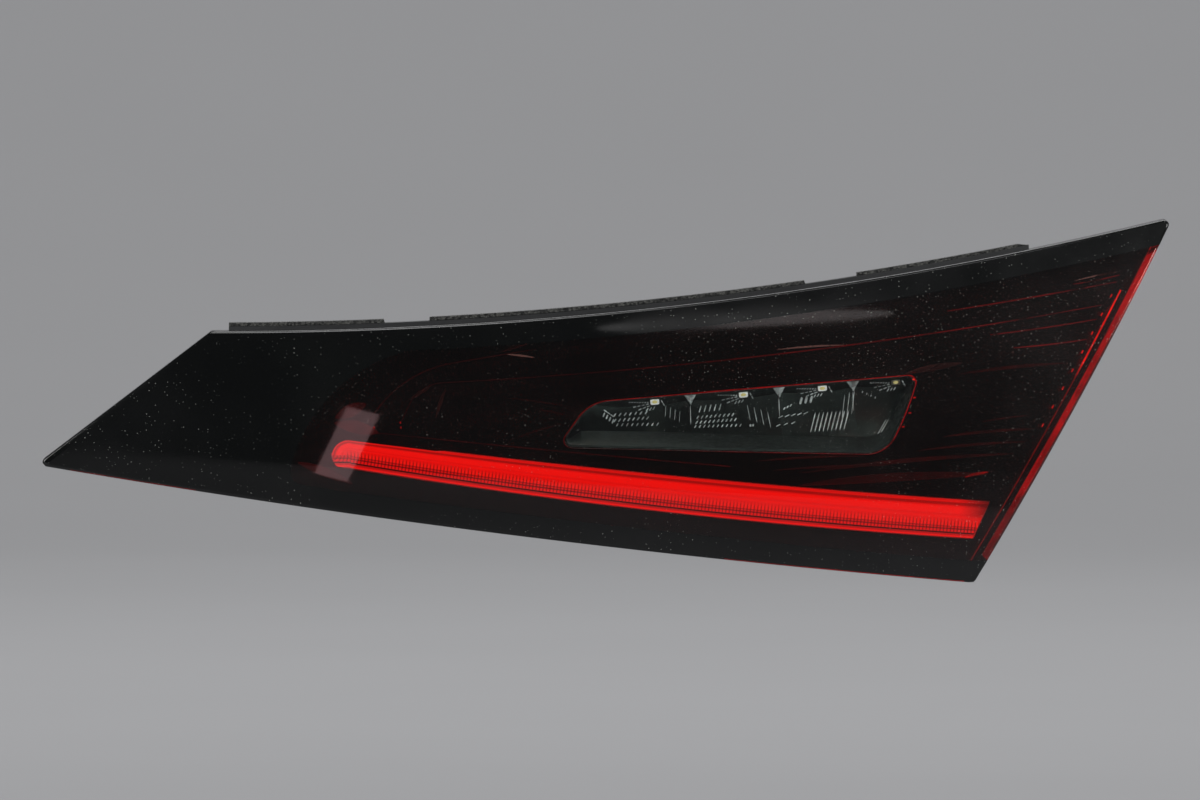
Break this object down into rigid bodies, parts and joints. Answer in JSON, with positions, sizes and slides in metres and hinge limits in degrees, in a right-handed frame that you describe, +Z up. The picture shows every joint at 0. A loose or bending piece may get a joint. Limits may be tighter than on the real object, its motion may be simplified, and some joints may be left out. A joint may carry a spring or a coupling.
{
  "type": "tailgate tail lamp",
  "caption": "Right-hand LED tailgate lamp: smoked red and black moulded lens over a terraced bezel, a red light bar and a faceted reversing lamp, in a sealed housing with rear studs.",
  "frame": {"origin": "root of the main stud, on the plane where the lamp seats on the tailgate", "axes": "+X outboard along the lens, +Y out of the back along the studs, +Z up; the lens faces -Y"},
  "size_m": [0.4397, 0.095, 0.1406],
  "materials": {
    "smoked_red_lens": "polished",
    "black_lens": "polished",
    "clear_lens": "polished",
    "butyl": "tacky",
    "housing_plastic": "moulded",
    "foam": "open-cell grain",
    "bezel_black": "polished",
    "bar_red": "prismed",
    "carrier_white": "moulded",
    "circuit_board": "solder mask",
    "led": "moulded",
    "reflector_silver": "vacuum metallised",
    "heat_sink": "extruded",
    "chip_black": "moulded",
    "screw_steel": "zinc plated",
    "lead_sleeve": "extruded",
    "connector_plastic": "moulded",
    "contact_brass": "tin plated",
    "membrane": "felt",
    "stud_steel": "zinc plated",
    "clip_nylon": "moulded"
  },
  "bodies": {
    "root": {"lens_red": "smoked_red_lens", "lens_black_frame": "black_lens", "lens_reverse_window": "clear_lens", "lens_seal": "butyl", "rear_housing": "housing_plastic", "top_seal_inner": "foam", "top_seal_middle": "foam", "top_seal_outer": "foam", "bezel": "bezel_black", "tail_light_bar": "bar_red", "bar_carrier": "carrier_white", "tail_led_board": "circuit_board", "tail_leds": "led", "reverse_reflector": "reflector_silver", "reverse_led_board": "circuit_board", "reverse_leds": "led", "reverse_heat_sink": "heat_sink", "driver_board": "circuit_board", "driver_chips": "chip_black", "driver_screws": "screw_steel", "bezel_screws": "screw_steel", "tail_board_lead": "lead_sleeve", "reverse_board_lead": "lead_sleeve", "connector_socket": "connector_plastic", "contact_pins": "contact_brass", "connector_gasket": "foam", "breather_cap": "connector_plastic", "breather_membrane": "membrane", "mounting_studs": "stud_steel", "stud_seals": "foam", "wing_clip": "clip_nylon"}
  },
  "joints": []
}
